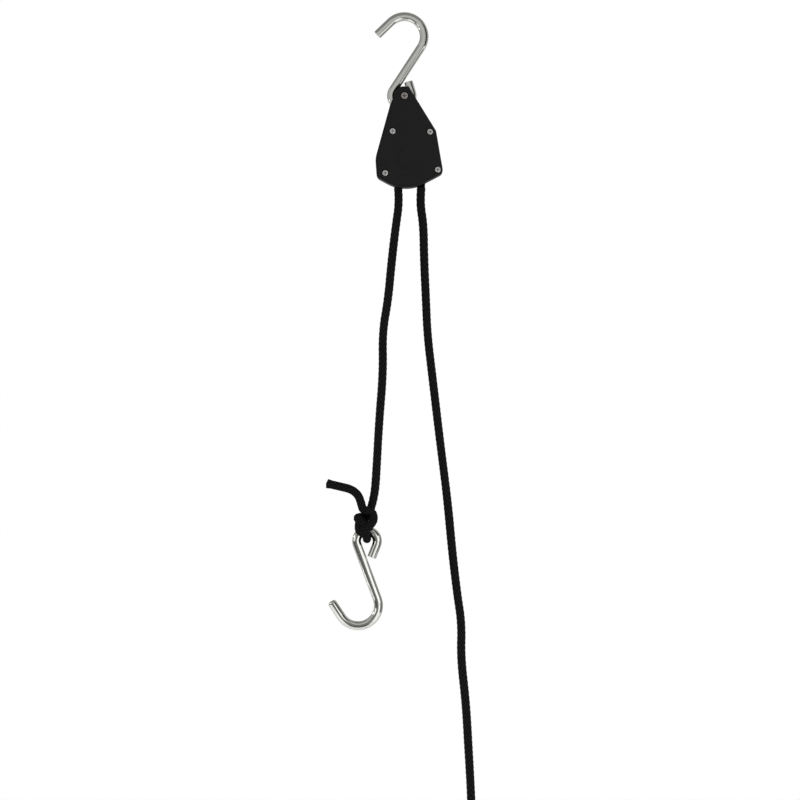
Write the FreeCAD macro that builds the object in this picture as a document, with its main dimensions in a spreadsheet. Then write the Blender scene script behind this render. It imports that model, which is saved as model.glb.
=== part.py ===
"""Rope ratchet hanger: a two-shell housing on a hook, with a pawl-locked rope wheel inside.

A rope runs over the wheel. One leg carries a second hook in a knotted loop, the other is the
leg that is pulled to lift. The frame is X right, Y to the back, Z up, in millimetres, with the
origin at the inside top of the upper hook, where the hanger hangs.
"""

import FreeCAD, Part
import math
import os

import Sketcher
from FreeCAD import Placement, Rotation, Vector

DOC = FreeCAD.newDocument("rope_ratchet_hanger")
SHEET = DOC.addObject("Spreadsheet::Sheet", "Sizes")

SIZES = {
    # hooks, with bow and eye radii to the middle of the wire and turns in degrees
    "upper_wire_d": 7.1,
    "upper_bow_radius": 15.9,
    "upper_eye_radius": 8.3,
    "upper_eye_turn": 230.0,
    "upper_eye_end": 9.3,
    "upper_tip_round": 0.45,
    "lower_wire_d": 7.3,
    "lower_bow_radius": 16.2,
    "lower_eye_radius": 8.3,
    "lower_eye_turn": 222.0,
    "lower_eye_end": 10.8,
    "lower_tip_round": 2.6,
    "bow_turn": 167.0,
    "bow_end": 14.8,
    "eye_end_round": 0.45,
    # housing
    "pin_depth": 60.5,
    "half_depth": 12.0,
    "floor_thickness": 2.8,
    "wall_thickness": 2.6,
    "lip_width": 1.5,
    "lip_drop": 0.6,
    "edge_round": 1.0,
    "face_round": 0.3,
    "slot_radius": 14.4,
    "slot_half_width": 3.95,
    "chamber_top": 13.9,
    "chamber_corner": 3.4,
    "least_corner": 0.8,
    "overlap": 1.0,
    "boss_radius": 3.0,
    "hub_pad_radius": 6.5,
    "hub_pad_face": 7.7,
    "disc_radius": 8.7,
    "disc_height": 0.5,
    "port_half_width": 4.0,
    "port_height": 8.0,
    "port_overrun": 2.0,
    # fasteners
    "case_screw_r": 1.5,
    "case_hole_r": 1.65,
    "case_head_r": 2.5,
    "head_height": 1.5,
    "head_round": 0.7,
    "screw_end_gap": 0.4,
    "case_sink_r": 3.0,
    "sink_depth": 1.6,
    "case_nut_r": 3.1,
    "case_nut_height": 1.8,
    "top_screw_r": 1.5,
    "top_hole_r": 1.6,
    "top_head_r": 3.0,
    "top_sink_r": 3.5,
    "top_nut_r": 4.0,
    "top_nut_height": 2.2,
    "nut_slack": 0.2,
    "recess_width": 0.55,
    "recess_depth": 0.9,
    "recess_span": 1.15,
    "sleeve_r": 2.4,
    # wheel
    "wheel_x": 3.9,
    "wheel_drop": 50.0,
    "tip_radius": 15.0,
    "root_radius": 13.5,
    "groove_radius": 7.2,
    "groove_half_width": 3.3,
    "groove_corner": 1.5,
    "groove_shoulder": 2.0,
    "rim_step": 0.5,
    "flange_face": 4.6,
    "wheel_half_width": 6.5,
    "bush_r": 4.6,
    "axle_r": 3.0,
    "axle_half_length": 10.6,
    "running_gap": 0.05,
    "washer_r": 6.0,
    "washer_thickness": 1.0,
    # pawl
    "pawl_x": 20.3,
    "pawl_drop": 36.5,
    "pawl_front": 4.2,
    "pawl_back": 6.4,
    "pawl_hub_r": 2.6,
    "pawl_end_gap": 0.3,
    "pawl_pin_r": 1.25,
    "pawl_pin_half_length": 10.4,
    "bar_r": 0.9,
    "bar_front": 4.0,
    "spring_radius": 2.2,
    "spring_wire_d": 0.6,
    "spring_pitch": 0.9,
    "spring_length": 4.5,
    "spring_back": 3.6,
    "pawl_leg_length": 9.5,
    "wall_leg_length": 4.6,
    "leg_overlap": 0.15,
    # rope
    "rope_d": 6.0,
    "rope_turn_radius": 10.5,
    "loop_gap": 0.45,
    "loop_leg": 8.0,
    "loop_lean": 20.0,
    "port_drop": 72.5,
    "hank_thickness": 19.4,
    "hank_half_length": 62.0,
    "hank_end_half_width": 22.0,
    "hank_waist_half_width": 13.5,
    "hank_bevel": 12.0,
    "hank_taper": 32.0,
    "tie_height": 14.0,
    "tie_thickness": 1.6,
    "waist_margin": 2.0,
}

for row, (alias, value) in enumerate(SIZES.items(), start=1):
    SHEET.set(f"A{row}", alias)
    SHEET.set(f"B{row}", str(value))
    SHEET.setAlias(f"B{row}", alias)
DOC.recompute()


def size(alias):
    """A driving dimension, read back from the sheet."""
    return float(SHEET.get(alias))


PIN = Vector(0, 0, -size("pin_depth"))
WHEEL = PIN + Vector(size("wheel_x"), 0, -size("wheel_drop"))
PAWL = PIN + Vector(size("pawl_x"), 0, -size("pawl_drop"))
BAR = PIN + Vector(18.75, 0, -57.0)
FRONT = Vector(0, -1, 0)
TO_FRONT = Rotation(Vector(0, 0, 1), FRONT)

# Corners of the housing's outline, from the pin, clockwise from the lug, with each corner's radius
OUTLINE = [
    (-4.9, 7.5, 6.6),
    (3.4, 7.5, 6.6),
    (25.3, -28.0, 3.0),
    (31.1, -61.5, 4.5),
    (8.8, -73.2, 30.0),
    (-6.9, -73.2, 30.0),
    (-22.1, -64.9, 5.0),
    (-23.2, -50.0, 22.0),
    (-11.3, -6.8, 4.0),
]
CASE_SCREWS = [(-9.4, -28.3), (20.5, -28.8), (-15.3, -61.7), (26.6, -59.0)]

TEETH = 12
STEEP_FACE = math.radians(5)
# The pawl's outline from the pin: down its inner side to the nose and the bar, and up its back
PAWL_OUTLINE = [
    (18.2, -36.5), (17.9, -45.5), (17.75, -48.4), (19.5, -48.35), (19.5, -52.0),
    (18.6, -55.0), (17.5, -57.2), (17.5, -58.4), (19.9, -58.4), (20.7, -55.0),
    (21.6, -52.0), (21.6, -46.0), (22.4, -36.5),
]

# Corners of the rope's route, in X and Z: the two legs start at the ports, and the load leg ends
# inside the knot
LOAD_LEG = [
    (-5.1, -133.0), (-4.0, -144.5), (-6.9, -164.0), (-10.3, -193.0), (-12.9, -222.0),
    (-17.6, -249.0), (-17.0, -281.0), (-20.2, -320.0), (-22.6, -357.0), (-24.0, -375.0),
    (-27.0, -391.0),
]
FREE_LEG = [
    (13.5, -133.0), (12.4, -145.0), (15.3, -163.0), (15.7, -190.0), (17.3, -224.0),
    (18.4, -251.0), (22.7, -287.0), (28.6, -337.0), (34.5, -383.0), (38.2, -424.0),
    (42.2, -458.0), (45.9, -482.0), (45.1, -509.0), (49.2, -545.0), (51.3, -582.0),
    (53.2, -615.0), (54.0, -643.0),
]
# The tail starts inside the knot too and leans slightly to the front, in X, Y and Z
TAIL = [
    (-31.5, 0.0, -396.0), (-33.4, -1.5, -386.5), (-38.3, -2.5, -377.5), (-46.5, -2.0, -372.6),
    (-60.2, -1.0, -370.2),
]
UPPER_BOW = Vector(0, 0, size("upper_wire_d") / 2 - size("upper_bow_radius"))
UPPER_EYE = PIN + Vector(-2.05, 0, 0.8)
LOWER_BOW = Vector(-37.0, 0, -467.5)
LOWER_EYE = Vector(-30.0, 0, -415.9)
KNOT = Vector(-30.0, 0, -395.0)
KNOT_RADII = (8.4, 9.0, 8.0)
HANK_TOP = FREE_LEG[-1]


# ---------------------------------------------------------------- small helpers


def bind(thing, **sizes):
    """Bind properties of one object to expressions on the sheet."""
    for name, expression in sizes.items():
        thing.setExpression(name, expression)
    return thing


def cylinder(name, radius, length, start, direction=FRONT):
    """A cylinder whose radius and height are sheet expressions."""
    made = DOC.addObject("Part::Cylinder", name)
    bind(made, Radius=radius, Height=length)
    made.Placement = Placement(start, Rotation(Vector(0, 0, 1), direction))
    return made


def combine(kind, name, first, second):
    made = DOC.addObject("Part::" + kind, name)
    made.Base = first
    made.Tool = second
    return made


def group(name, members):
    made = DOC.addObject("Part::Compound", name)
    made.Links = members
    return made


def rounded_outline(corners):
    """Lines joined by tangent arcs round a closed list of (x, z, radius) corners."""
    points = [Vector(x, z, 0) for x, z, _ in corners]
    cuts = []
    for i, (_, _, radius) in enumerate(corners):
        here = points[i]
        back = (points[i - 1] - here).normalize()
        ahead = (points[(i + 1) % len(points)] - here).normalize()
        half = back.getAngle(ahead) / 2
        reach = radius / math.tan(half)
        middle = here + (back + ahead).normalize() * (radius / math.sin(half) - radius)
        cuts.append((here + back * reach, middle, here + ahead * reach))
    edges = []
    for i, (start, middle, end) in enumerate(cuts):
        edges.append(Part.Arc(start, middle, end))
        edges.append(Part.LineSegment(end, cuts[(i + 1) % len(cuts)][0]))
    return edges


def inset(corners, distance):
    """The corners of a clockwise outline moved inwards, with their radii made smaller."""
    count = len(corners)
    moved = []
    for i in range(count):
        lines = []
        for a, b in ((corners[i - 1], corners[i]), (corners[i], corners[(i + 1) % count])):
            along = Vector(b[0] - a[0], b[1] - a[1], 0).normalize()
            inward = Vector(along.y, -along.x, 0)
            lines.append((Vector(a[0], a[1], 0) + inward * distance, along))
        (p, u), (q, v) = lines
        gap = q - p
        step = (gap.x * v.y - gap.y * v.x) / (u.x * v.y - u.y * v.x)
        corner = p + u * step
        radius = max(corners[i][2] - distance, size("least_corner"))
        moved.append((corner.x, corner.y, radius))
    return moved


def at_height(a, b, z):
    """Where the straight line through two corners is at that height."""
    return a[0] + (b[0] - a[0]) * (z - a[1]) / (b[1] - a[1])


# ---------------------------------------------------------------- sketches and bodies


def plane(body, role):
    return next(f for f in body.Origin.OriginFeatures if f.Role == role)


def sketch(body, name, outward=0.0):
    """A sketch on the parting plane, or moved to the front of it. Its Y axis is the part's Z."""
    made = body.newObject("Sketcher::SketchObject", name)
    made.AttachmentSupport = [(plane(body, "XZ_Plane"), "")]
    made.MapMode = "FlatFace"
    made.AttachmentOffset = Placement(Vector(0, 0, outward), Rotation())
    return made


def draw(made, edges):
    for edge in edges:
        made.addGeometry(edge, False)
    DOC.recompute()
    return made


def at_pin(edges):
    for edge in edges:
        edge.translate(Vector(PIN.x, PIN.z, 0))
    return edges


def circle_sketch(body, name, centres, radius, outward=0.0):
    """Circles of one bound radius, with their centres fixed in the sketch."""
    made = sketch(body, name, outward)
    for i, (x, z) in enumerate(centres):
        start = Part.Circle(Vector(x, z, 0), Vector(0, 0, 1), 1.0)
        made.addGeometry(start, False)
        made.addConstraint(Sketcher.Constraint("DistanceX", -1, 1, i, 3, x))
        made.addConstraint(Sketcher.Constraint("DistanceY", -1, 1, i, 3, z))
        ring = made.addConstraint(Sketcher.Constraint("Radius", i, 1.0))
        made.setExpression(f"Constraints[{ring}]", radius)
    DOC.recompute()
    return made


def polygon(points):
    vectors = [Vector(x, z, 0) for x, z in points]
    return [Part.LineSegment(a, b) for a, b in zip(vectors, vectors[1:] + vectors[:1])]


def rectangle(x0, x1, z0, z1):
    return polygon([(x0, z0), (x1, z0), (x1, z1), (x0, z1)])


def feature(body, kind, name, profile, length, reverse=False):
    """A pad or pocket of one sketch, checked to have changed the body's volume."""
    before = body.Shape.Volume if body.Tip else 0.0
    made = body.newObject("PartDesign::" + kind, name)
    made.Profile = profile
    made.setExpression("Length", length)
    made.Reversed = reverse
    DOC.recompute()
    if abs(body.Shape.Volume - before) < 1e-3:
        raise RuntimeError(f"{name} changed nothing")
    return made


def hexagon(x, z, radius):
    turns = [math.radians(30 + 60 * k) for k in range(6)]
    return polygon([(x + radius * math.cos(a), z + radius * math.sin(a)) for a in turns])


def soften(body, name, base, level, radius):
    """Round the edges of a body's last feature that lie in the plane Y = level."""
    rim = [
        f"Edge{i}"
        for i, edge in enumerate(base.Shape.Edges, start=1)
        if all(abs(v.Point.y - level) < 1e-6 for v in edge.Vertexes)
    ]
    softened = body.newObject("PartDesign::Fillet", name)
    softened.Base = (base, rim)
    softened.setExpression("Radius", "Sizes." + radius)
    DOC.recompute()
    return softened


def add_shell(name, side):
    """One half of the housing. Side is -1 for the front half and 1 for the back half."""
    body = DOC.addObject("PartDesign::Body", name)
    back = side > 0
    out_of_parting = {"reverse": back}
    into_shell = {"reverse": not back}
    screws = [(PIN.x + x, PIN.z + z) for x, z in CASE_SCREWS]
    pin = [(PIN.x, PIN.z)]
    hub = [(WHEEL.x, WHEEL.z)]
    pivot = [(PAWL.x, PAWL.z)]

    outline = draw(sketch(body, "Outline"), at_pin(rounded_outline(OUTLINE)))
    lip = "Sizes.half_depth - Sizes.lip_drop"
    block = feature(body, "Pad", "Block", outline, lip, **out_of_parting)
    soften(body, "OuterEdge", block, side * (size("half_depth") - size("lip_drop")), "edge_round")
    raised = inset(OUTLINE, size("lip_width"))
    face = draw(sketch(body, "Face"), at_pin(rounded_outline(raised)))
    plate = feature(body, "Pad", "FacePlate", face, "Sizes.half_depth", **out_of_parting)
    soften(body, "FaceEdge", plate, side * size("half_depth"), "face_round")

    top = -size("chamber_top")
    left_x = at_height(OUTLINE[-1], OUTLINE[-2], top)
    right_x = at_height(OUTLINE[1], OUTLINE[2], top)
    corner = size("chamber_corner")
    lower = [(left_x, top, corner), (right_x, top, corner)] + OUTLINE[2:8]
    inner = inset(lower, size("wall_thickness"))
    chamber = draw(sketch(body, "Chamber"), at_pin(rounded_outline(inner)))
    floor = "Sizes.half_depth - Sizes.floor_thickness"
    feature(body, "Pocket", "ChamberPocket", chamber, floor, **into_shell)

    bosses = circle_sketch(body, "Bosses", screws, "Sizes.boss_radius")
    feature(body, "Pad", "BossPads", bosses, "Sizes.half_depth - Sizes.overlap", **out_of_parting)

    level = size("hub_pad_face")
    pads = circle_sketch(body, "HubPad", hub, "Sizes.hub_pad_radius", -side * level)
    thickness = "Sizes.half_depth - Sizes.hub_pad_face - Sizes.overlap"
    feature(body, "Pad", "HubPadPad", pads, thickness, **out_of_parting)

    gap = circle_sketch(body, "SlotRound", pin, "Sizes.slot_radius")
    feature(body, "Pocket", "SlotRoundPocket", gap, "Sizes.slot_half_width", **into_shell)

    half = size("port_half_width")
    for word, x in (("Left", LOAD_LEG[0][0]), ("Right", FREE_LEG[0][0])):
        low = PIN.z - size("port_drop") - size("port_overrun")
        mouth = rectangle(x - half, x + half, low, low + size("port_height"))
        port = draw(sketch(body, word + "Port"), mouth)
        feature(body, "Pocket", word + "PortPocket", port, "Sizes.port_half_width", **into_shell)

    if not back:
        disc = circle_sketch(body, "Disc", hub, "Sizes.disc_radius", size("half_depth"))
        feature(body, "Pad", "DiscPad", disc, "Sizes.disc_height")

    through = "Sizes.half_depth + Sizes.overlap"
    for word, places, radius in (
        ("CaseHoles", screws, "Sizes.case_hole_r"),
        ("TopHole", pin, "Sizes.top_hole_r"),
    ):
        holes = circle_sketch(body, word, places, radius)
        feature(body, "Pocket", word + "Pocket", holes, through, **into_shell)

    for word, places, radius, depth in (
        ("AxleSocket", hub, "Sizes.axle_r", "Sizes.axle_half_length"),
        ("PawlSocket", pivot, "Sizes.pawl_pin_r", "Sizes.pawl_pin_half_length"),
    ):
        socket = circle_sketch(body, word, places, radius)
        feature(body, "Pocket", word + "Pocket", socket, depth, **into_shell)

    if back:
        slack = size("nut_slack")
        for word, places, key in (("CaseNut", screws, "case_nut"), ("TopNut", pin, "top_nut")):
            seats = sketch(body, word + "Seats", -size("half_depth"))
            edges = []
            for x, z in places:
                edges += hexagon(x, z, size(key + "_r") + slack)
            draw(seats, edges)
            depth = f"Sizes.{key}_height + Sizes.nut_slack"
            feature(body, "Pocket", word + "Pocket", seats, depth, reverse=True)
    else:
        for word, places, radius in (
            ("CaseSinks", screws, "Sizes.case_sink_r"),
            ("TopSink", pin, "Sizes.top_sink_r"),
        ):
            sinks = circle_sketch(body, word, places, radius, size("half_depth"))
            feature(body, "Pocket", word + "Pocket", sinks, "Sizes.sink_depth")
    return body


# ---------------------------------------------------------------- fasteners


def add_screw(name, x, z, shank, head, height):
    """A pan-head screw with a cross recess, seated in its counterbore and run to the back."""
    seat = -size("half_depth") + size("sink_depth")
    end = size("half_depth") - size("screw_end_gap")
    shaft = DOC.addObject("Part::Cylinder", name + "_shaft")
    bind(shaft, Radius=shank)
    shaft.Height = end - seat
    shaft.Placement = Placement(Vector(x, end, z), TO_FRONT)
    pan = DOC.addObject("Part::Cylinder", name + "_pan")
    bind(pan, Radius=head, Height=height)
    pan.Placement = Placement(Vector(x, seat, z), TO_FRONT)
    DOC.recompute()
    rim = next(
        i
        for i, edge in enumerate(pan.Shape.Edges, start=1)
        if len(edge.Vertexes) == 1 and edge.Vertexes[0].Point.y < seat - 1e-3
    )
    domed = DOC.addObject("Part::Fillet", name + "_head")
    domed.Base = pan
    domed.Edges = [(rim, size("head_round"), size("head_round"))]
    whole = combine("Fuse", name + "_blank", shaft, domed)
    front = seat - pan.Height.Value - size("overlap")
    length = size("recess_span") * float(pan.Radius)
    across = size("recess_width")
    bars = []
    for word, wide, tall in (("wide", length, across), ("tall", across, length)):
        bar = DOC.addObject("Part::Box", f"{name}_{word}")
        bar.Length = wide
        bar.Height = tall
        bind(bar, Width="Sizes.recess_depth + Sizes.overlap")
        bar.Placement = Placement(Vector(x - wide / 2, front, z - tall / 2), Rotation())
        bars.append(bar)
    cross = combine("Fuse", name + "_cross", *bars)
    return combine("Cut", name, whole, cross)


def add_nut(name, x, z, radius, height, bore):
    """A hexagon nut in its pocket at the back."""
    blank = DOC.addObject("Part::Prism", name + "_blank")
    blank.Polygon = 6
    bind(blank, Circumradius=radius, Height=height)
    back = size("half_depth")
    seat = Vector(x, back - size("nut_slack"), z)
    turn = TO_FRONT.multiply(Rotation(Vector(0, 0, 1), 30))
    blank.Placement = Placement(seat, turn)
    hole = cylinder(name + "_hole", bore, height, seat)
    return combine("Cut", name, blank, hole)


def add_fasteners():
    screws = []
    nuts = []
    for i, (x, z) in enumerate(CASE_SCREWS, start=1):
        at = (PIN.x + x, PIN.z + z)
        screw = add_screw(
            f"case_screw_{i}", *at, "Sizes.case_screw_r", "Sizes.case_head_r", "Sizes.head_height"
        )
        nut = add_nut(
            f"case_nut_{i}", *at, "Sizes.case_nut_r", "Sizes.case_nut_height", "Sizes.case_screw_r"
        )
        screws.append(screw)
        nuts.append(nut)
    top = (PIN.x, PIN.z)
    return {
        "case_screws": group("case_screws", screws),
        "case_nuts": group("case_nuts", nuts),
        "top_screw": add_screw(
            "top_screw_body", *top, "Sizes.top_screw_r", "Sizes.top_head_r", "Sizes.head_height"
        ),
        "top_nut": add_nut(
            "top_nut_body", *top, "Sizes.top_nut_r", "Sizes.top_nut_height", "Sizes.top_screw_r"
        ),
    }


def tube(name, outer, inner, length, start):
    whole = cylinder(name + "_outer", outer, length, start)
    hole = cylinder(name + "_bore", inner, length, start)
    return combine("Cut", name, whole, hole)


# ---------------------------------------------------------------- wheel, pawl and spring

def add_wheel():
    """The rope wheel: a grooved pulley with ratchet teeth round its rear flange."""
    body = DOC.addObject("PartDesign::Body", "rope_wheel_body")
    pitch = 2 * math.pi / TEETH
    points = []
    for k in range(TEETH):
        steep = STEEP_FACE + k * pitch
        for radius in (size("tip_radius"), size("root_radius")):
            points.append((WHEEL.x + radius * math.cos(steep), WHEEL.z + radius * math.sin(steep)))
    teeth = draw(sketch(body, "Teeth", -size("flange_face")), polygon(points))
    ratchet = "Sizes.wheel_half_width - Sizes.flange_face"
    feature(body, "Pad", "ToothedRing", teeth, ratchet, reverse=True)

    # The section through the axis, in X and Y, of the pulley without the teeth
    half = size("wheel_half_width")
    rim = size("tip_radius")
    step = size("rim_step")
    root = size("root_radius") - step
    groove = size("groove_half_width")
    bottom = size("groove_radius")
    shoulder = bottom + size("groove_shoulder")
    flat_end = groove - size("groove_corner")
    bush = size("bush_r")
    face = size("flange_face")
    section = [
        (bush, -half), (rim, -half), (rim, -face), (root, -groove - step), (shoulder, -groove),
        (bottom, -flat_end), (bottom, flat_end), (shoulder, groove),
        (root, groove + step), (root, face), (bush, face),
    ]
    flat = body.newObject("Sketcher::SketchObject", "Section")
    flat.AttachmentSupport = [(plane(body, "XY_Plane"), "")]
    flat.MapMode = "FlatFace"
    flat.AttachmentOffset = Placement(Vector(WHEEL.x, 0, WHEEL.z), Rotation())
    draw(flat, polygon(section))
    turned = body.newObject("PartDesign::Revolution", "Pulley")
    turned.Profile = flat
    turned.ReferenceAxis = (flat, ["V_Axis"])
    turned.Angle = 360
    DOC.recompute()

    bore = circle_sketch(body, "Bore", [(WHEEL.x, WHEEL.z)], "Sizes.bush_r", half + size("overlap"))
    feature(body, "Pocket", "BorePocket", bore, "2 * (Sizes.wheel_half_width + Sizes.overlap)")
    return body


def add_pawl():
    """The pawl, a steel plate with a nose above a tooth's steep face and an arm beside the rope."""
    body = DOC.addObject("PartDesign::Body", "pawl_body")
    points = [(PIN.x + x, PIN.z + z) for x, z in PAWL_OUTLINE]
    plate = draw(sketch(body, "Plate", -size("pawl_front")), polygon(points))
    thickness = "Sizes.pawl_back - Sizes.pawl_front"
    feature(body, "Pad", "PlatePad", plate, thickness, reverse=True)
    hub = circle_sketch(body, "Hub", [(PAWL.x, PAWL.z)], "Sizes.pawl_hub_r", -size("pawl_front"))
    reach = "Sizes.half_depth - Sizes.floor_thickness - Sizes.pawl_front - Sizes.pawl_end_gap"
    feature(body, "Pad", "HubPad", hub, reach, reverse=True)
    hole = "Sizes.pawl_pin_r + Sizes.running_gap"
    before = size("overlap") - size("pawl_front")
    bore = circle_sketch(body, "PinHole", [(PAWL.x, PAWL.z)], hole, before)
    feature(body, "Pocket", "PinHolePocket", bore, "Sizes.half_depth")
    seat = circle_sketch(body, "BarHole", [(BAR.x, BAR.z)], "Sizes.bar_r", before)
    feature(body, "Pocket", "BarHolePocket", seat, "Sizes.half_depth")
    return body


def swept(name, edges, diameter):
    """A round section carried along a wire of tangent edges."""
    wire = Part.Wire(Part.__sortEdges__([edge.toShape() for edge in edges]))
    path = DOC.addObject("Part::Feature", name + "_path")
    path.Shape = wire
    first = wire.OrderedEdges[0]
    start = wire.OrderedVertexes[0].Point
    tangent = first.tangentAt(first.FirstParameter)
    if (first.valueAt(first.FirstParameter) - start).Length > 1e-6:
        tangent = first.tangentAt(first.LastParameter) * -1
    ring = DOC.addObject("Part::Circle", name + "_section")
    bind(ring, Radius=diameter + " / 2")
    ring.Placement = Placement(start, Rotation(Vector(0, 0, 1), tangent))
    tubular = DOC.addObject("Part::Sweep", name)
    tubular.Sections = [ring]
    tubular.Spine = (path, [f"Edge{i}" for i in range(1, len(wire.Edges) + 1)])
    tubular.Solid = True
    tubular.Frenet = False
    tubular.Transition = "Right corner"
    return tubular


def add_spring():
    """A torsion spring on the pawl's pin, with one leg to the wall and one to the pawl's back."""
    turns = DOC.addObject("Part::Helix", "spring_helix")
    bind(
        turns, Radius="Sizes.spring_radius", Pitch="Sizes.spring_pitch", Height="Sizes.spring_length"
    )
    back = size("spring_back")
    turns.Placement = Placement(PAWL + Vector(0, back, 0), TO_FRONT)
    DOC.recompute()
    ring = DOC.addObject("Part::Circle", "spring_section")
    bind(ring, Radius="Sizes.spring_wire_d / 2")
    edge = turns.Shape.Edges[0]
    at = edge.valueAt(edge.FirstParameter)
    ring.Placement = Placement(at, Rotation(Vector(0, 0, 1), edge.tangentAt(edge.FirstParameter)))
    coil = DOC.addObject("Part::Sweep", "spring_coil")
    coil.Sections = [ring]
    coil.Spine = (turns, ["Edge1"])
    coil.Solid = True
    coil.Frenet = True
    side = PAWL + Vector(size("spring_radius"), back, 0)
    up = Vector(0, 0, 1)
    lap = up * size("leg_overlap")
    wire = "Sizes.spring_wire_d / 2"
    pawl_leg = cylinder("pawl_leg", wire, "Sizes.pawl_leg_length", side + lap, up * -1)
    wall_start = side + Vector(0, -size("spring_length"), 0) - lap
    wall_leg = cylinder("wall_leg", wire, "Sizes.wall_leg_length", wall_start, up)
    return combine("Fuse", "spring", combine("Fuse", "coil_and_leg", coil, pawl_leg), wall_leg)


# ---------------------------------------------------------------- hooks


def in_plane(x, z):
    return Vector(x, 0, z)


def polar(centre, radius, angle):
    return centre + in_plane(radius * math.cos(angle), radius * math.sin(angle))


def add_hook(which, bow, eye, mirror):
    """An S-hook: open bow, straight shank on the circles' inner tangent, and nearly closed eye.

    Mirror is 1 where the shank touches the bow anticlockwise of the line to the eye, seen from
    the front, and -1 where it touches on the other side.
    """
    bow_radius = size(which + "_bow_radius")
    eye_radius = size(which + "_eye_radius")
    across = eye - bow
    lean = math.atan2(across.z, across.x)
    tilt = math.acos((bow_radius + eye_radius) / across.Length)
    bow_exit = lean + mirror * tilt
    eye_entry = bow_exit + math.pi
    free = bow_exit + mirror * math.radians(size("bow_turn"))
    tip_way = in_plane(-mirror * math.sin(free), mirror * math.cos(free))
    free_start = polar(bow, bow_radius, free)
    tip = free_start + tip_way * size("bow_end")
    leave = eye_entry + mirror * math.radians(size(which + "_eye_turn"))
    leave_way = in_plane(-mirror * math.sin(leave), mirror * math.cos(leave))
    eye_end = polar(eye, eye_radius, leave)
    last = eye_end + leave_way * size(which + "_eye_end")
    edges = [
        Part.LineSegment(tip, free_start),
        Part.Arc(
            free_start,
            polar(bow, bow_radius, (free + bow_exit) / 2),
            polar(bow, bow_radius, bow_exit),
        ),
        Part.LineSegment(polar(bow, bow_radius, bow_exit), polar(eye, eye_radius, eye_entry)),
        Part.Arc(
            polar(eye, eye_radius, eye_entry),
            polar(eye, eye_radius, (eye_entry + leave) / 2),
            eye_end,
        ),
        Part.LineSegment(eye_end, last),
    ]
    bar = swept(which + "_bar", edges, f"Sizes.{which}_wire_d")
    DOC.recompute()
    rounds = []
    for place, radius in ((tip, size(which + "_tip_round")), (last, size("eye_end_round"))):
        for i, edge in enumerate(bar.Shape.Edges, start=1):
            if edge.Closed and (edge.CenterOfMass - place).Length < 0.5:
                rounds.append((i, radius, radius))
    if len(rounds) != 2:
        raise RuntimeError(f"{which} hook: {len(rounds)} ends found")
    hook = DOC.addObject("Part::Fillet", which + "_hook_shape")
    hook.Base = bar
    hook.Edges = rounds
    return hook


# ---------------------------------------------------------------- rope


def route_edges(points):
    """Straight runs joined by tangent arcs, each as large as its two runs allow."""
    edges = []
    radii = []
    last = points[0]
    for i in range(1, len(points) - 1):
        here = points[i]
        back = points[i - 1] - here
        ahead = points[i + 1] - here
        turn = math.pi - back.getAngle(ahead)
        radius = 0.45 * min(back.Length, ahead.Length) / math.tan(turn / 2)
        half = (math.pi - turn) / 2
        reach = radius / math.tan(half)
        back.normalize()
        ahead.normalize()
        bisector = (back + ahead).normalize()
        start = here + back * reach
        middle = here + bisector * (radius / math.sin(half) - radius)
        end = here + ahead * reach
        edges.append(Part.LineSegment(last, start))
        edges.append(Part.Arc(start, middle, end))
        radii.append(radius)
        last = end
    edges.append(Part.LineSegment(last, points[-1]))
    return edges, radii


def add_rope(name, points):
    """A stretch of rope, with its bend radii and its volume compared with section times length."""
    edges, radii = route_edges(points)
    rope = swept(name, edges, "Sizes.rope_d")
    DOC.recompute()
    length = sum(edge.toShape().Length for edge in edges)
    full = length * math.pi * size("rope_d") ** 2 / 4
    print(name, "bend radii", [round(r) for r in radii])
    print(f"{name} length {length:.1f} mm, volume over section times length {rope.Shape.Volume / full:.4f}")
    return rope


def tangent_point(centre, radius, outside, side):
    """Where the line from a point outside touches a circle, on its left (-1) or right (1)."""
    away = outside - centre
    angle = math.atan2(away.z, away.x)
    return polar(centre, radius, angle + side * math.acos(radius / away.Length))


def add_wheel_rope():
    """The rope inside the housing, in at one port, round the wheel and out at the other."""
    radius = size("rope_turn_radius")
    left = in_plane(*LOAD_LEG[0])
    right = in_plane(*FREE_LEG[0])
    on = tangent_point(WHEEL, radius, left, -1)
    off = tangent_point(WHEEL, radius, right, 1)
    top = WHEEL + Vector(0, 0, radius)
    edges = [Part.LineSegment(left, on), Part.Arc(on, top, off), Part.LineSegment(off, right)]
    return swept("wheel_rope", edges, "Sizes.rope_d")


def add_knot():
    """The knot's outer shape and the loop below it, which passes through the lower hook's eye."""
    lump = DOC.addObject("Part::Ellipsoid", "knot_lump")
    lump.Radius1, lump.Radius2, lump.Radius3 = KNOT_RADII
    lump.Placement = Placement(KNOT, Rotation())
    wire_top = LOWER_EYE + Vector(0, 0, size("lower_eye_radius"))
    bend = size("lower_wire_d") / 2 + size("rope_d") / 2 + size("loop_gap")
    lean = math.radians(size("loop_lean"))
    side = Vector(0, bend * math.cos(lean), bend * math.sin(lean))
    rise = Vector(0, -math.sin(lean), math.cos(lean)) * size("loop_leg")
    near = wire_top + Vector(0, -side.y, side.z)
    far = wire_top + side
    edges = [
        Part.LineSegment(near + Vector(0, -rise.y, rise.z), near),
        Part.Arc(near, wire_top - Vector(0, 0, bend), far),
        Part.LineSegment(far, far + rise),
    ]
    loop = swept("knot_loop", edges, "Sizes.rope_d")
    return combine("Fuse", "knot", lump, loop)


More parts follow.
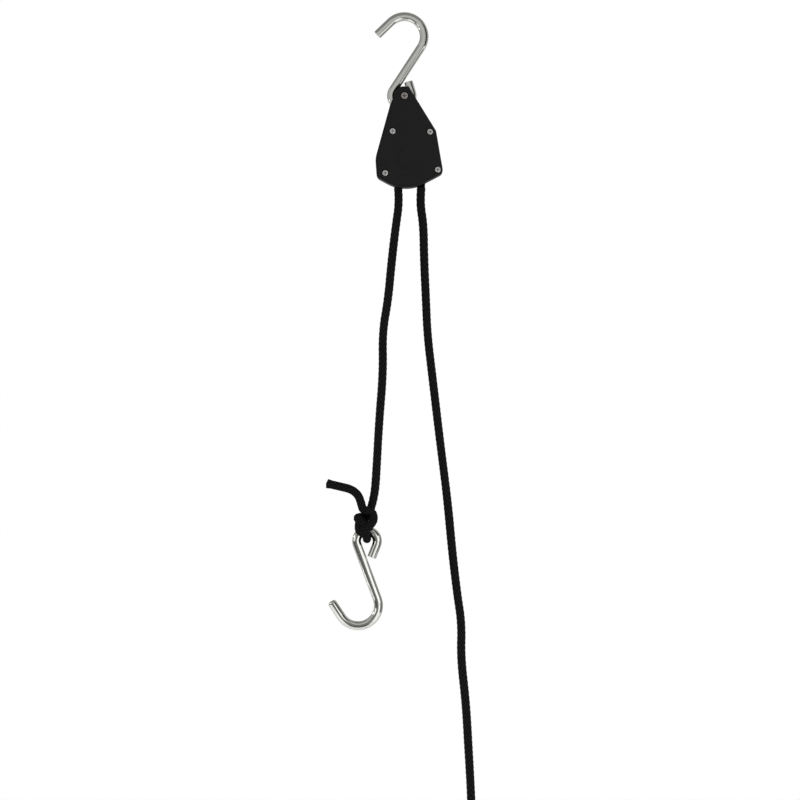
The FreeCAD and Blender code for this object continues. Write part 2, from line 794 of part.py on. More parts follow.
def add_hank():
    """The put-away rope's outer shape, narrow at the waist, and the strap round that waist."""
    x, top = HANK_TOP
    half = size("hank_half_length")
    wide = size("hank_end_half_width")
    waist = size("hank_waist_half_width")
    middle = top - half
    strap = size("tie_height") / 2 + size("waist_margin")
    bevel = size("hank_bevel")
    taper = size("hank_taper")
    right = [
        (x + wide - bevel, top), (x + wide, top - bevel), (x + wide, top - taper),
        (x + waist, middle + strap), (x + waist, middle - strap),
        (x + wide, middle - half + taper), (x + wide, middle - half + bevel),
        (x + wide - bevel, middle - half),
    ]
    left = [(2 * x - px, pz) for px, pz in reversed(right)]
    body = DOC.addObject("PartDesign::Body", "hank_body")
    outline = draw(sketch(body, "HankOutline", size("hank_thickness") / 2), polygon(right + left))
    feature(body, "Pad", "HankPad", outline, "Sizes.hank_thickness", reverse=True)

    band = DOC.addObject("PartDesign::Body", "tie_body")
    ring = sketch(band, "TieRing")
    ring.AttachmentSupport = [(plane(band, "XY_Plane"), "")]
    ring.AttachmentOffset = Placement(Vector(x, 0, middle - size("tie_height") / 2), Rotation())
    deep = size("hank_thickness") / 2
    grow = size("tie_thickness")
    edges = rectangle(-waist - grow, waist + grow, -deep - grow, deep + grow)
    draw(ring, edges + rectangle(-waist, waist, -deep, deep))
    feature(band, "Pad", "TiePad", ring, "Sizes.tie_height")
    return body, band


# ---------------------------------------------------------------- the whole hanger


def build():
    parts = {}
    parts["upper_hook"] = add_hook("upper", UPPER_BOW, UPPER_EYE, 1)
    parts["lower_hook"] = add_hook("lower", LOWER_BOW, LOWER_EYE, -1)
    parts["front_shell"] = add_shell("front_shell_body", -1)
    parts["rear_shell"] = add_shell("rear_shell_body", 1)
    parts.update(add_fasteners())
    slot = Vector(PIN.x, size("slot_half_width"), PIN.z)
    parts["top_sleeve"] = tube(
        "sleeve", "Sizes.sleeve_r", "Sizes.top_hole_r", "2 * Sizes.slot_half_width", slot
    )
    parts["rope_wheel"] = add_wheel()
    half = size("wheel_half_width")
    back = WHEEL + Vector(0, half, 0)
    parts["wheel_bush"] = tube(
        "bush", "Sizes.bush_r", "Sizes.axle_r + Sizes.running_gap", "2 * Sizes.wheel_half_width", back
    )
    axle_end = WHEEL + Vector(0, size("axle_half_length"), 0)
    parts["wheel_axle"] = cylinder("axle", "Sizes.axle_r", "2 * Sizes.axle_half_length", axle_end)
    pad = size("hub_pad_face")
    rings = [
        tube("washer_1", "Sizes.washer_r", "Sizes.axle_r", "Sizes.washer_thickness",
             WHEEL + Vector(0, pad, 0)),
        tube("washer_2", "Sizes.washer_r", "Sizes.axle_r", "Sizes.washer_thickness",
             WHEEL + Vector(0, -pad + size("washer_thickness"), 0)),
    ]
    parts["thrust_washers"] = group("washers", rings)
    parts["pawl"] = add_pawl()
    pin_end = PAWL + Vector(0, size("pawl_pin_half_length"), 0)
    parts["pawl_pin"] = cylinder(
        "pawl_pin_shape", "Sizes.pawl_pin_r", "2 * Sizes.pawl_pin_half_length", pin_end
    )
    bar_end = BAR + Vector(0, size("pawl_back"), 0)
    parts["release_bar"] = cylinder(
        "bar", "Sizes.bar_r", "Sizes.pawl_back + Sizes.bar_front", bar_end
    )
    parts["pawl_spring"] = add_spring()
    parts["rope_on_wheel"] = add_wheel_rope()
    parts["rope_load_leg"] = add_rope("load_leg", [in_plane(x, z) for x, z in LOAD_LEG])
    parts["rope_free_leg"] = add_rope("free_leg", [in_plane(x, z) for x, z in FREE_LEG])
    parts["rope_tail"] = add_rope("tail", [Vector(*p) for p in TAIL])
    parts["rope_knot"] = add_knot()
    parts["rope_hank"], parts["hank_tie"] = add_hank()
    DOC.recompute()
    return parts


def export(parts):
    for thing in DOC.Objects:
        if {"Invalid", "Error"} & set(thing.State):
            raise RuntimeError(f"{thing.Name} failed: {thing.State}")
    os.makedirs("parts", exist_ok=True)
    for node, thing in parts.items():
        thing.Label = node
        shape = thing.Shape
        if shape.isNull() or not shape.isValid() or shape.Volume <= 0:
            raise RuntimeError(f"{node} has no valid shape")
        shape.exportStep(f"parts/{node}.step")
        box = shape.optimalBoundingBox(False)
        print(
            f"{node:15s} {len(shape.Solids)} solid(s) {shape.Volume:9.1f} mm3"
            f"  x {box.XMin:7.1f} {box.XMax:7.1f}  y {box.YMin:6.1f} {box.YMax:6.1f}"
            f"  z {box.ZMin:7.1f} {box.ZMax:7.1f}"
        )


export(build())
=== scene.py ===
"""Looks of the rope ratchet hanger: braided rope, polished hooks and moulded housing round the CAD frame."""

import math

import bmesh
import bpy
import numpy as np
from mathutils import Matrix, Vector


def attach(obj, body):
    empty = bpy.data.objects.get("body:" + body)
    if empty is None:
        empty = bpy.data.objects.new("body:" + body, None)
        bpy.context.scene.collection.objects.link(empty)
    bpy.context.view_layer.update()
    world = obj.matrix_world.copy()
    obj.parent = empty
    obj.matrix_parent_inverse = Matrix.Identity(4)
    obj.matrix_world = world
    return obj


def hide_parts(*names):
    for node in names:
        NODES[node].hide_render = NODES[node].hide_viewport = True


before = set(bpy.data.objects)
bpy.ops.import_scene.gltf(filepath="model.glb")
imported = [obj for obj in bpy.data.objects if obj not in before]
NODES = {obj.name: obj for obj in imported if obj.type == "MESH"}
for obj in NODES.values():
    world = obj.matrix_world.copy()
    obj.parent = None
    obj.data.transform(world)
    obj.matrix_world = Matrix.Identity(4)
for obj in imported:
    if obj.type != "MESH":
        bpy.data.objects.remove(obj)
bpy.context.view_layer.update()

# ---------------------------------------------------------------- camera

VIEW_WIDTH = 0.640
VIEW_CENTRE = Vector((-0.0035, 0.0, -0.3031))
CAMERA_DISTANCE = 3.0
SENSOR_MM = 36.0


def add_camera():
    """A long lens straight in front of the hanger, level with the middle of the view."""
    data = bpy.data.cameras.new("camera")
    data.sensor_width = SENSOR_MM
    data.lens = SENSOR_MM * CAMERA_DISTANCE / VIEW_WIDTH
    data.clip_end = 20
    camera = bpy.data.objects.new("camera", data)
    bpy.context.scene.collection.objects.link(camera)
    camera.location = VIEW_CENTRE + Vector((0, -CAMERA_DISTANCE, 0))
    camera.rotation_euler = (math.radians(90), 0, 0)
    bpy.context.scene.camera = camera


# ---------------------------------------------------------------- rope routes, in millimetres

ROPE_D = 6.0
LOAD_LEG = [
    (-5.1, 0, -133.0), (-4.0, 0, -144.5), (-6.9, 0, -164.0), (-10.3, 0, -193.0),
    (-12.9, 0, -222.0), (-17.6, 0, -249.0), (-17.0, 0, -281.0), (-20.2, 0, -320.0),
    (-22.2, 0, -357.0), (-23.3, 0, -374.0),
]
# A half knot round the eye: the leg crosses to the left, comes down in front, goes through the
# eye and up behind, wraps the left side, crosses in front to the right lobe and leaves as the tail
KNOT_ROUTE = [
    (-25.0, 0.6, -383.5), (-26.6, 1.8, -389.0), (-29.0, 4.2, -396.9), (-34.0, 4.4, -396.6),
    (-38.3, -0.6, -397.2), (-35.0, -4.8, -400.4), (-31.4, -7.4, -403.4), (-30.8, -7.4, -408.8),
    (-30.0, -5.4, -413.8), (-29.9, 1.0, -414.6), (-29.9, 7.4, -410.8), (-29.6, 7.6, -403.8),
    (-32.6, 6.4, -399.8), (-36.2, 1.2, -400.6), (-36.6, -6.6, -405.6), (-35.2, -8.8, -409.2),
    (-30.8, -10.4, -405.8), (-26.8, -8.2, -402.8), (-24.2, -3.6, -398.6), (-25.2, -2.4, -393.2),
    (-29.0, -3.4, -391.6), (-33.2, -2.2, -391.2),
]
TAIL = [
    (-34.7, -1.5, -385.0), (-37.0, -1.5, -378.8), (-42.6, -2.0, -374.4), (-50.6, -1.6, -372.5),
    (-61.8, -1.0, -369.9),
]
FREE_LEG = [
    (13.5, 0, -133.0), (12.4, 0, -145.0), (15.3, 0, -163.0), (15.7, 0, -190.0),
    (17.3, 0, -224.0), (18.4, 0, -251.0), (22.7, 0, -287.0), (28.6, 0, -337.0),
    (34.5, 0, -383.0), (38.2, 0, -424.0), (42.2, 0, -458.0), (45.9, 0, -482.0),
    (45.1, 0, -509.0), (49.2, 0, -545.0), (51.3, 0, -582.0), (53.2, 0, -615.0),
    (54.0, 0, -640.0),
]

# The tied hank. A lane holds a turn's half width, half height and half width at the strap, and
# the rows of turns lie one behind the other.
HANK_CENTRE = (54.0, -705.0)
OUTER_LANE = (18.4, 58.6, 10.0)
INNER_LANE = (12.0, 52.2, 3.5)
ROW = 6.3
# Heights of a turn's control points down one side, from 1 at the top to -1 at the bottom
STATIONS = (0.97, 0.80, 0.58, 0.24, 0.0, -0.24, -0.58, -0.80, -0.97)
# Parts of a lane's half width: near its ends, and where its lobes are widest
SHOULDER = 0.82
LOBE = 1.04
HANK_ENTRY = (3.0, 54.0)


def hank_station(lane, row, side, share):
    """One control point of a turn, at that share of its height. Side is 1 on the right."""
    wide, tall, waist = lane
    spread = abs(share)
    if spread > 0.99:
        across = 0.0
    elif spread > 0.9:
        across = SHOULDER * wide
    elif spread > 0.5:
        across = LOBE * wide
    else:
        across = waist
    return (HANK_CENTRE[0] + side * across, row, HANK_CENTRE[1] + share * tall)


def hank_route():
    """Five and a half turns down the right side and up the left, changing lane on the way up."""
    turns = [
        (OUTER_LANE, 0.0), (OUTER_LANE, -ROW), (INNER_LANE, -ROW), (INNER_LANE, 0.0),
        (INNER_LANE, ROW), (OUTER_LANE, ROW),
    ]
    points = [(HANK_CENTRE[0] + HANK_ENTRY[0], 0.0, HANK_CENTRE[1] + HANK_ENTRY[1])]
    for k, (lane, row) in enumerate(turns):
        for share in STATIONS[1:] if k == 0 else STATIONS:
            points.append(hank_station(lane, row, 1, share))
        if k == len(turns) - 1:
            break
        points.append(hank_station(lane, row, 1, -1.0))
        next_lane, next_row = turns[k + 1]
        for i, share in enumerate(reversed(STATIONS)):
            blend = i / (len(STATIONS) - 1)
            mixed = [a + (b - a) * blend for a, b in zip(lane, next_lane)]
            points.append(hank_station(mixed, row + (next_row - row) * blend, -1, share))
        points.append(hank_station(next_lane, next_row, 1, 1.0))
    return points


# ---------------------------------------------------------------- rope geometry


def spline_points(name, route):
    """Points, in metres, of the smooth NURBS line that a route's control points make."""
    data = bpy.data.curves.new(name, "CURVE")
    data.dimensions = "3D"
    data.resolution_u = 24
    spline = data.splines.new("NURBS")
    spline.points.add(len(route) - 1)
    for point, (x, y, z) in zip(spline.points, route):
        point.co = (x / 1000, y / 1000, z / 1000, 1)
    spline.order_u = 3
    spline.use_endpoint_u = True
    guide = bpy.data.objects.new(name, data)
    mesh = bpy.data.meshes.new_from_object(guide)
    line = np.array([v.co[:] for v in mesh.vertices])
    bpy.data.objects.remove(guide)
    bpy.data.curves.remove(data)
    bpy.data.meshes.remove(mesh)
    return line


def resampled(line, step):
    """Points at even steps along a line, and how far along each of them lies."""
    along = np.concatenate([[0], np.cumsum(np.linalg.norm(np.diff(line, axis=0), axis=1))])
    at = np.linspace(0, along[-1], int(along[-1] / step) + 1)
    return np.stack([np.interp(at, along, line[:, k]) for k in range(3)], axis=1), at


def frames(line):
    """Tangents and two normals that don't twist along the line."""
    tangents = np.gradient(line, axis=0)
    tangents /= np.linalg.norm(tangents, axis=1)[:, None]
    normals = np.empty_like(tangents)
    start = np.array([0.0, 1.0, 0.0])
    for i, tangent in enumerate(tangents):
        start = start - tangent * np.dot(start, tangent)
        start /= np.linalg.norm(start)
        normals[i] = start
    return tangents, normals, np.cross(tangents, normals)


# The braid: strands each way, threads in a strand, the length of one crossing and how far the
# strands stand out, both in metres
CARRIERS = 8
THREADS = 6
PICK = 0.0040
STRAND_RISE = 0.00042
CROSSING_RISE = 0.00026
ROUNDNESS = 0.96


def braid_height(along, angle):
    """How far the braid stands out, and where the first of its two families of strands is on top."""
    a = angle * CARRIERS / (2 * math.pi) + along / PICK
    b = angle * CARRIERS / (2 * math.pi) - along / PICK
    fa = a - np.floor(a) - 0.5
    fb = b - np.floor(b) - 0.5
    crown_a = np.sqrt(np.clip(1 - (2 * fa) ** 2 * ROUNDNESS, 0, 1))
    crown_b = np.sqrt(np.clip(1 - (2 * fb) ** 2 * ROUNDNESS, 0, 1))
    odd_a = 1 - 2 * (np.floor(a) % 2)
    odd_b = 1 - 2 * (np.floor(b) % 2)
    over_a = odd_a * np.cos(math.pi * (b - 0.5))
    over_b = -odd_b * np.cos(math.pi * (a - 0.5))
    high_a = STRAND_RISE * crown_a + CROSSING_RISE * over_a
    high_b = STRAND_RISE * crown_b + CROSSING_RISE * over_b
    return np.maximum(high_a, high_b), high_a > high_b


# The rope's mesh, in metres: steps round and along it, its slow swelling, and its melted end
RING = 48
STEP = 0.00045
SWELL = 0.00008
SWELL_LENGTH = 0.03
SEAL = 0.0034
SEAL_GROWTH = 1.27
SEAL_ROUGHNESS = 0.0003
TOP_CAP = 0.0002
END_CAP = 0.0009
CAP_LIFT = 0.3


def rope_radius(along, height, noise):
    """The radius at every point of a rope that swells slowly and is melted at its last end."""
    knots = int(along[-1] / SWELL_LENGTH) + 2
    swell = np.interp(along, np.linspace(0, along[-1], knots), noise.uniform(-SWELL, SWELL, knots))
    half_thick = ROPE_D / 2000
    core = half_thick - STRAND_RISE / 2
    radius = core + height + swell[:, None]
    left = along[-1] - along
    melt = np.clip(1 - left / SEAL, 0, 1)[:, None]
    rough = noise.uniform(-1, 1, radius.shape)
    rough = (rough + np.roll(rough, 1, 1) + np.roll(rough, -1, 1) + np.roll(rough, 2, 1)) / 4
    flat = half_thick * SEAL_GROWTH + SEAL_ROUGHNESS * rough
    return radius * (1 - melt) + flat * melt


def tube_faces(count):
    """The faces of a tube of that many rings, closed by two vertices that come after them."""
    i = np.arange(count - 1)[:, None] * RING
    j = np.arange(RING)[None, :]
    k = (j + 1) % RING
    faces = np.stack([i + j, i + k, i + RING + k, i + RING + j], axis=-1).reshape(-1, 4).tolist()
    top = count * RING
    bottom = top + 1
    last = (count - 1) * RING
    faces += [[top, (m + 1) % RING, m] for m in range(RING)]
    faces += [[bottom, last + m, last + (m + 1) % RING] for m in range(RING)]
    return faces


def braided(name, line, seed):
    """A closed braided tube along the line, with its last end flared and melted."""
    line, along = resampled(line, STEP)
    tangents, normal, binormal = frames(line)
    angle = np.linspace(0, 2 * math.pi, RING, endpoint=False)
    s, t = np.meshgrid(along, angle, indexing="ij")
    height, first = braid_height(s, t)
    radius = rope_radius(along, height, np.random.default_rng(seed))
    rings = (
        line[:, None, :]
        + normal[:, None, :] * (np.cos(t) * radius)[:, :, None]
        + binormal[:, None, :] * (np.sin(t) * radius)[:, :, None]
    )
    ends = np.stack([line[0] - tangents[0] * TOP_CAP, line[-1] + tangents[-1] * END_CAP])
    vertices = np.concatenate([rings.reshape(-1, 3), ends])
    mesh = bpy.data.meshes.new(name)
    mesh.from_pydata(vertices.tolist(), [], tube_faces(len(line)))
    mesh.update()
    # What the rope's material reads: how high a point stands, its family of strands, and its place
    # along and round the rope, each followed by the values for the two end vertices
    # The height share also drives the rope's painted shade between the strands
    share = height / (STRAND_RISE + CROSSING_RISE)
    lift = np.concatenate([share.reshape(-1), [CAP_LIFT, CAP_LIFT]])
    lay = np.concatenate([first.astype(float).reshape(-1), [0, 0]])
    run = np.concatenate([s.reshape(-1), [along[0], along[-1]]])
    turn = np.concatenate([t.reshape(-1), [0, 0]])
    for word, values in (("lift", lift), ("lay", lay), ("run", run), ("turn", turn)):
        layer = mesh.attributes.new(word, "FLOAT", "POINT")
        layer.data.foreach_set("value", values.astype(np.float32))
    mesh.shade_smooth()
    piece = bpy.data.objects.new(name, mesh)
    bpy.context.scene.collection.objects.link(piece)
    return piece, line


def length_of(line):
    """The length of a line of points, in metres."""
    return float(np.linalg.norm(np.diff(line, axis=0), axis=1).sum())


def add_cords(rope):
    """The two free legs of the rope, each from its port to its own end."""
    load_line = spline_points("load_route", LOAD_LEG + KNOT_ROUTE + TAIL)
    load, load_path = braided("load_rope", load_line, seed=3)
    load.data.materials.append(rope)
    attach(load, "housing")
    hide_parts("rope_load_leg", "rope_knot", "rope_tail")
    free_line = spline_points("free_route", FREE_LEG + hank_route())
    free, free_path = braided("free_rope", free_line, seed=5)
    free.data.materials.append(rope)
    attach(free, "housing")
    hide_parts("rope_free_leg", "rope_hank")
    print("rope lengths", length_of(load_path), length_of(free_path))


# ---------------------------------------------------------------- materials


class Nodes:
    """A small helper for building one material's node tree."""

    def __init__(self, name):
        self.material = bpy.data.materials.new(name)
        self.material.use_nodes = True
        self.tree = self.material.node_tree
        self.shader = self.tree.nodes["Principled BSDF"]

    def add(self, kind, **values):
        """A new node of that kind, with its own settings."""
        node = self.tree.nodes.new(kind)
        for key, value in values.items():
            setattr(node, key, value)
        return node

    def link(self, source, target):
        self.tree.links.new(source, target)

    def coordinates(self):
        """A point's place in the piece's own frame, in metres."""
        return self.add("ShaderNodeTexCoord").outputs["Object"]

    def noise(self, vector, scale, detail, rough):
        """Cloudy values between 0 and 1. A larger scale gives finer clouds."""
        node = self.add("ShaderNodeTexNoise")
        node.inputs["Scale"].default_value = scale
        node.inputs["Detail"].default_value = detail
        node.inputs["Roughness"].default_value = rough
        self.link(vector, node.inputs["Vector"])
        return node.outputs["Fac"]

    def ramp(self, value, stops):
        """A value turned into a colour or a grey, by stops of (value, colour)."""
        node = self.add("ShaderNodeValToRGB")
        ramp = node.color_ramp
        while len(ramp.elements) < len(stops):
            ramp.elements.new(0.5)
        for element, (position, colour) in zip(ramp.elements, stops):
            element.position = position
            element.color = (*colour, 1) if len(colour) == 3 else (colour[0],) * 3 + (1,)
        self.link(value, node.inputs["Fac"])
        return node.outputs["Color"]

    def span(self, value, low, high):
        """A value between 0 and 1 spread between low and high."""
        node = self.add("ShaderNodeMapRange")
        node.inputs["To Min"].default_value = low
        node.inputs["To Max"].default_value = high
        self.link(value, node.inputs["Value"])
        return node.outputs["Result"]

    def math(self, operation, a, b):
        """A sum on two sockets or numbers."""
        node = self.add("ShaderNodeMath", operation=operation)
        for socket, value in zip(node.inputs, (a, b)):
            if isinstance(value, (int, float)):
                socket.default_value = value
            else:
                self.link(value, socket)
        return node.outputs["Value"]

    def with_painted_shade(self, colour, distance):
        """The colour, darkened down by painted shade in recesses and narrow gaps."""
        # Painted shade: ambient occlusion darkens the colour where a recess or gap closes in
        corner = self.add("ShaderNodeAmbientOcclusion")
        corner.inputs["Distance"].default_value = distance
        painted_shade = self.ramp(corner.outputs["AO"], [(0.35, (0.08,)), (0.85, (1.0,))])
        mix = self.add("ShaderNodeMixRGB", blend_type="MULTIPLY")
        mix.inputs["Fac"].default_value = 1.0
        self.link(colour, mix.inputs["Color1"])
        self.link(painted_shade, mix.inputs["Color2"])
        return mix.outputs["Color"]

    def bump(self, height, distance, strength):
        """Fine relief on the whole material."""
        node = self.add("ShaderNodeBump")
        node.inputs["Distance"].default_value = distance
        node.inputs["Strength"].default_value = strength
        self.link(height, node.inputs["Height"])
        self.link(node.outputs["Normal"], self.shader.inputs["Normal"])


# In metres: how far into a recess the light still reaches, and how deep the surface grain is
RECESS = 0.0012
METAL_GRAIN = 0.00001
MOULD_GRAIN = 0.00006


def metal(name, colour, roughness, grain=0.0):
    """A polished or plated metal with faint hazy patches and fine rubbing marks; with a grain, also painted
    shade in its recesses.
    """
    nodes = Nodes(name)
    where = nodes.coordinates()
    haze = nodes.noise(where, 90, 5, 0.6)
    light = tuple(min(1, c * 1.06) for c in colour)
    dark = tuple(c * 0.92 for c in colour)
    tone = nodes.ramp(haze, [(0.3, dark), (0.7, light)])
    # With a grain the metal also gets painted shade, darker in its recesses
    if grain:
        tone = nodes.with_painted_shade(tone, RECESS)
    nodes.link(tone, nodes.shader.inputs["Base Color"])
    fine = nodes.noise(where, 500, 6, 0.7)
    nodes.link(nodes.span(fine, roughness * 0.7, roughness * 1.4), nodes.shader.inputs["Roughness"])
    nodes.shader.inputs["Metallic"].default_value = 1.0
    if grain:
        nodes.bump(nodes.noise(where, 1400, 3, 0.6), grain, 0.35)
    return nodes.material


def plastic(name, colour, roughness, shine=0.5):
    """Moulded plastic with a fine spark-eroded grain and slightly uneven gloss."""
    nodes = Nodes(name)
    where = nodes.coordinates()
    broad = nodes.noise(where, 60, 4, 0.55)
    light = tuple(c * 1.14 for c in colour)
    dark = tuple(c * 0.88 for c in colour)
    nodes.link(nodes.ramp(broad, [(0.32, dark), (0.68, light)]), nodes.shader.inputs["Base Color"])
    nodes.link(nodes.span(nodes.noise(where, 240, 5, 0.6), roughness - 0.07, roughness + 0.08),
               nodes.shader.inputs["Roughness"])
    nodes.shader.inputs["Specular IOR Level"].default_value = shine
    nodes.bump(nodes.noise(where, 1500, 3, 0.6), MOULD_GRAIN, 0.4)
    return nodes.material


def rope_material():
    """Black filament yarn: fine threads along each strand, and painted shade that makes it darker down
    between them.
    """
    nodes = Nodes("rope_yarn")
    lift = nodes.add("ShaderNodeAttribute", attribute_name="lift").outputs["Fac"]
    lay = nodes.add("ShaderNodeAttribute", attribute_name="lay").outputs["Fac"]
    run = nodes.add("ShaderNodeAttribute", attribute_name="run").outputs["Fac"]
    turn = nodes.add("ShaderNodeAttribute", attribute_name="turn").outputs["Fac"]
    slant = nodes.span(lay, -1, 1)
    across = nodes.math("MULTIPLY", turn, CARRIERS / (2 * math.pi))
    along = nodes.math("MULTIPLY", run, 1 / PICK)
    other = nodes.math("MULTIPLY", along, slant)
    phase = nodes.math("MULTIPLY", nodes.math("ADD", across, other), 2 * math.pi * THREADS)
    thread = nodes.math("SINE", phase, 0.0)
    where = nodes.coordinates()
    fuzz = nodes.noise(where, 2600, 4, 0.7)
    # Random fuzz tone mixed with painted shade: the yarn is darker where the braid lies low between strands
    shade = nodes.math("ADD", nodes.math("MULTIPLY", fuzz, 0.4), nodes.math("MULTIPLY", lift, 0.8))
    tone = nodes.ramp(shade, [(0.45, (0.0003,)), (0.72, (0.0023,)), (0.98, (0.0115,))])
    nodes.link(tone, nodes.shader.inputs["Base Color"])
    nodes.link(nodes.span(fuzz, 0.6, 0.85), nodes.shader.inputs["Roughness"])
    nodes.shader.inputs["Specular IOR Level"].default_value = 0.05
    nodes.bump(nodes.math("ADD", thread, nodes.math("MULTIPLY", fuzz, 1.5)), 0.00005, 0.5)
    return nodes.material


def webbing():
    """Woven black hook-and-loop strap: ribs across and fine threads along."""
    nodes = Nodes("webbing")
    where = nodes.coordinates()
    fuzz = nodes.noise(where, 1800, 4, 0.7)
    nodes.link(nodes.ramp(fuzz, [(0.3, (0.006, 0.006, 0.007)), (0.75, (0.022, 0.022, 0.023))]),
               nodes.shader.inputs["Base Color"])
    nodes.link(nodes.span(fuzz, 0.7, 0.95), nodes.shader.inputs["Roughness"])
    rib = nodes.add("ShaderNodeTexWave", wave_type="BANDS", bands_direction="Z")
    rib.inputs["Scale"].default_value = 420
    nodes.link(where, rib.inputs["Vector"])
    nodes.bump(nodes.math("ADD", rib.outputs["Fac"], fuzz), 0.0002, 0.5)
    return nodes.material


def dress(material, slot_name, *names):
    """Gives CAD nodes a material. The slot name is not used."""
    for name in names:
        node = NODES[name]
        node.data.materials.clear()
        node.data.materials.append(material)


# ---------------------------------------------------------------- light and stage


# How far off the cards stand, in metres, and the most degrees of turn in one of their faces
CARD_DISTANCE = 0.55
CARD_STEP = 6
# What the polished wire mirrors: cards round the hooks as (from, to, brightness), in degrees to
# the right of the front
UPPER_CARDS = [
    (-175, -140, 0.5), (-140, -122, 0.2), (-122, -40, 0.52), (-40, 16, 0.64), (16, 38, 0.50),
    (38, 84, 0.05), (84, 120, 0.5), (120, 175, 0.75),
]
EYE_CARDS = [
    (-175, -96, 0.80), (-96, -74, 0.25), (-74, -38, 1.4), (-38, 12, 0.22), (12, 64, 1.4),
    (64, 84, 0.10), (84, 175, 0.42),
]
LOWER_CARDS = [
    (-175, -100, 0.70), (-100, -84, 0.25), (-84, -26, 0.13), (-26, 8, 0.24), (8, 52, 1.35),
    (52, 84, 0.12), (84, 175, 0.42),
]
BAND_CARDS = [(-60, 6, 0.30), (6, 46, 0.05), (46, 80, 1.2)]
LOW_CARDS = [(-70, -24, 1.3), (-24, 18, 0.08), (18, 80, 1.3)]
# Each ring of cards: its name, how far right its middle is, its lowest and highest level
CARD_RINGS = [
    ("upper", 0.0, -0.205, 0.34, UPPER_CARDS),
    ("band", 0.0, -0.265, -0.205, BAND_CARDS),
    ("eye", -0.035, -0.435, -0.27, EYE_CARDS),
    ("lower", -0.035, -0.66, -0.435, LOWER_CARDS),
    ("low", 0.0, -1.0, -0.66, LOW_CARDS),
]

# The room, in metres
DOME_RADIUS = 9
FLOOR_HALF = 4
FLOOR_LEVEL = -1.05
FLOOR_GREY = (0.86, 0.86, 0.86)
WORLD_GREY = (0.30, 0.30, 0.295, 1)
LIGHTS_AIM = (0, 0, -0.3)


def glowing(name, colour, glow, base=(0, 0, 0), roughness=1.0):
    """A matt material that also gives off light."""
    nodes = Nodes(name)
    nodes.shader.inputs["Base Color"].default_value = (*base, 1)
    nodes.shader.inputs["Roughness"].default_value = roughness
    nodes.shader.inputs["Emission Color"].default_value = (*colour, 1)
    nodes.shader.inputs["Emission Strength"].default_value = glow
    return nodes


def add_staged(mesh, nodes, hidden_from=()):
    """A piece of the studio, hidden from the named kinds of ray."""
    mesh.materials.append(nodes.material)
    piece = bpy.data.objects.new(mesh.name, mesh)
    bpy.context.scene.collection.objects.link(piece)
    for ray in hidden_from:
        setattr(piece, "visible_" + ray, False)
    return piece


def ring_card(name, across, low, high, start, end, bright):
    """A curved card standing round a hook: only mirror-like surfaces see it."""
    steps = max(2, int(abs(end - start) / CARD_STEP))
    vertices = []
    for k in range(steps + 1):
        turn = math.radians(start + (end - start) * k / steps)
        x = across + CARD_DISTANCE * math.sin(turn)
        y = -CARD_DISTANCE * math.cos(turn)
        vertices += [(x, y, low), (x, y, high)]
    faces = [(2 * k, 2 * k + 1, 2 * k + 3, 2 * k + 2) for k in range(steps)]
    mesh = bpy.data.meshes.new(name)
    mesh.from_pydata(vertices, [], faces)
    nodes = glowing(name, (1, 1, 0.985), bright)
    nodes.shader.inputs["Specular IOR Level"].default_value = 0.0
    add_staged(mesh, nodes, hidden_from=("camera", "diffuse", "shadow", "transmission"))


def softbox(name, place, width, height, power):
    """A rectangular light aimed at the hanger's middle."""
    data = bpy.data.lights.new(name, "AREA")
    data.shape = "RECTANGLE"
    data.size = width
    data.size_y = height
    data.energy = power
    light = bpy.data.objects.new(name, data)
    light.location = place
    towards = Vector(LIGHTS_AIM) - Vector(place)
    light.rotation_euler = towards.to_track_quat("-Z", "Y").to_euler()
    light.visible_camera = False
    bpy.context.scene.collection.objects.link(light)
    return light


def add_dome():
    """A white dome all round that only the camera sees."""
    mesh = bpy.data.meshes.new("dome")
    build = bmesh.new()
    bmesh.ops.create_uvsphere(build, u_segments=48, v_segments=24, radius=DOME_RADIUS)
    bmesh.ops.reverse_faces(build, faces=build.faces)
    build.to_mesh(mesh)
    build.free()
    white = glowing("dome", (1, 1, 1), 1.0)
    add_staged(mesh, white, hidden_from=("glossy", "diffuse", "shadow", "transmission"))


def add_floor():
    """A pale floor well below the hanger and out of the front view."""
    mesh = bpy.data.meshes.new("floor")
    corners = [(-1, -1), (1, -1), (1, 1), (-1, 1)]
    mesh.from_pydata([(x * FLOOR_HALF, y * FLOOR_HALF, 0) for x, y in corners], [], [(0, 1, 2, 3)])
    pale = glowing("floor", (1, 1, 1), 0.35, base=FLOOR_GREY, roughness=0.9)
    floor = add_staged(mesh, pale)
    floor.location = (0, 0, FLOOR_LEVEL)


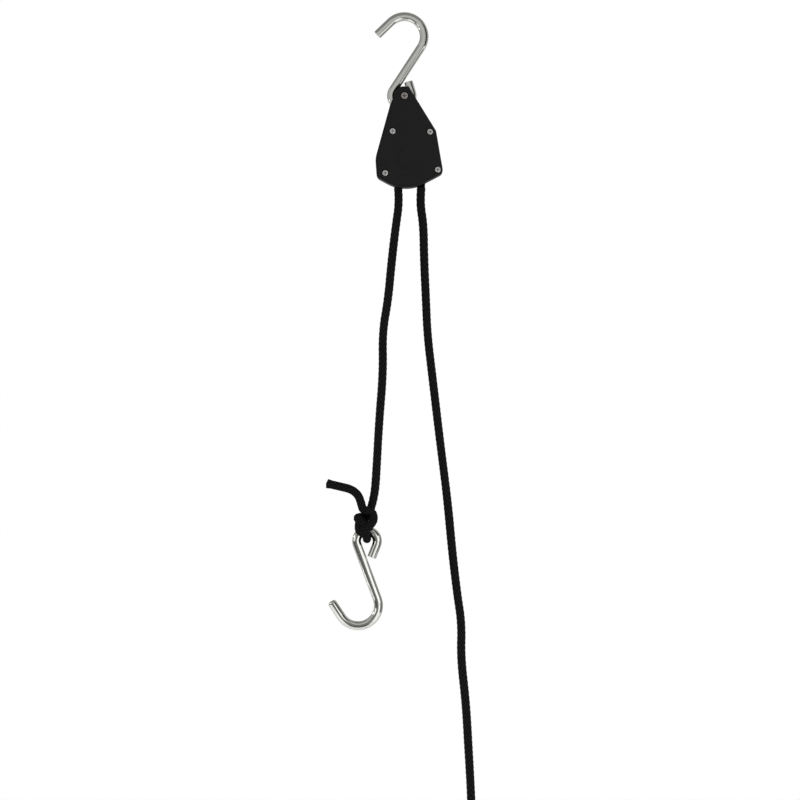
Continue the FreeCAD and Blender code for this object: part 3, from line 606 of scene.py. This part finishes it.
def add_studio():
    """A white room with soft boxes, and the cards that the polished wire mirrors."""
    add_dome()
    add_floor()
    world = bpy.data.worlds.new("studio")
    world.use_nodes = True
    background = world.node_tree.nodes["Background"]
    background.inputs["Color"].default_value = WORLD_GREY
    background.inputs["Strength"].default_value = 1.0
    bpy.context.scene.world = world
    softbox("key", (1.15, -1.5, 0.15), 0.75, 1.6, 22)
    softbox("left_strip", (-1.9, 0.0, -0.2), 0.3, 1.8, 14)
    top = softbox("top", (0.1, -0.3, 1.7), 1.4, 1.2, 16)
    top.visible_glossy = False
    for word, across, low, high, cards in CARD_RINGS:
        for k, (start, end, bright) in enumerate(cards):
            ring_card("%s_card_%d" % (word, k), across, low, high, start, end, bright)


# ---------------------------------------------------------------- the scene

CHROME = (0.66, 0.66, 0.635)
ZINC = (0.50, 0.50, 0.49)
DARK_ZINC = (0.27, 0.25, 0.23)
PLAIN_STEEL = (0.42, 0.42, 0.42)
BRONZE = (0.50, 0.33, 0.16)
BLACK_NYLON = (0.0028, 0.0028, 0.0036)
DARK_NYLON = (0.03, 0.03, 0.032)
PALE_NYLON = (0.5, 0.5, 0.48)


def dress_all(rope):
    """A material for every CAD node that stays visible."""
    chrome = metal("chrome", CHROME, 0.07)
    dress(chrome, "steel", "upper_hook", "lower_hook")
    housing = plastic("housing_nylon", BLACK_NYLON, 0.5, shine=0.17)
    dress(housing, "housing", "front_shell", "rear_shell")
    zinc = metal("zinc", ZINC, 0.32, METAL_GRAIN)
    dress(zinc, "screw", "case_screws", "case_nuts")
    dark_zinc = metal("dark_zinc", DARK_ZINC, 0.34, METAL_GRAIN)
    dress(dark_zinc, "top_screw", "top_screw", "top_nut")
    steel = metal("inner_steel", PLAIN_STEEL, 0.35, METAL_GRAIN)
    dress(steel, "inner_steel", "top_sleeve", "wheel_axle", "pawl", "pawl_pin", "release_bar",
          "pawl_spring")
    dress(plastic("wheel_nylon", DARK_NYLON, 0.42), "wheel", "rope_wheel")
    dress(metal("bronze", BRONZE, 0.33, METAL_GRAIN), "bronze", "wheel_bush")
    dress(plastic("washer_nylon", PALE_NYLON, 0.5), "washer", "thrust_washers")
    dress(rope, "rope", "rope_on_wheel")
    dress(webbing(), "strap", "hank_tie")


add_camera()
add_studio()
bpy.context.scene.view_settings.view_transform = "Standard"
rope = rope_material()
dress_all(rope)
add_cords(rope)
